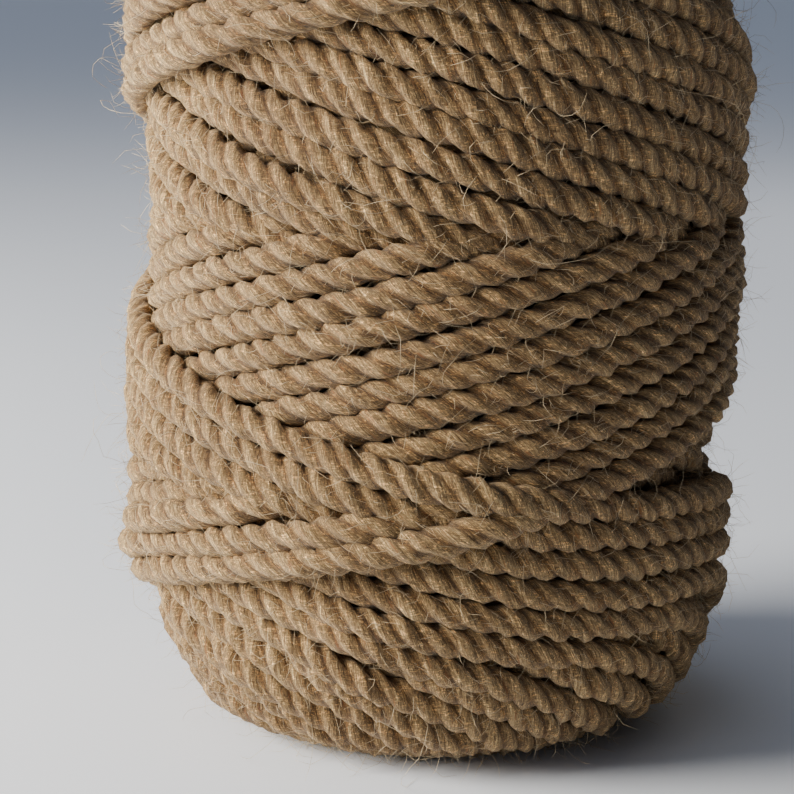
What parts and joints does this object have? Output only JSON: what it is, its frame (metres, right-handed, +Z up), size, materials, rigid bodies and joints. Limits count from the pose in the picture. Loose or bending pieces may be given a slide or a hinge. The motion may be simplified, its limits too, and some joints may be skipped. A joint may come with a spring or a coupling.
{
  "type": "spool of jute twine",
  "caption": "Cross-wound spool of thick twisted jute twine with rounded ends and a plain centre hole, standing on one flat end.",
  "frame": {"origin": "middle of the flat end that the spool stands on, on the axis of its centre hole", "axes": "+Z up along the centre hole, -Y towards the side that faces the viewer in the picture, +X to that viewer's right"},
  "size_m": [0.1132, 0.115, 0.192],
  "materials": {
    "jute": "matte, loosely twisted and hairy natural jute in three plies"
  },
  "bodies": {
    "root": {"wound_twine": "jute"}
  },
  "joints": []
}
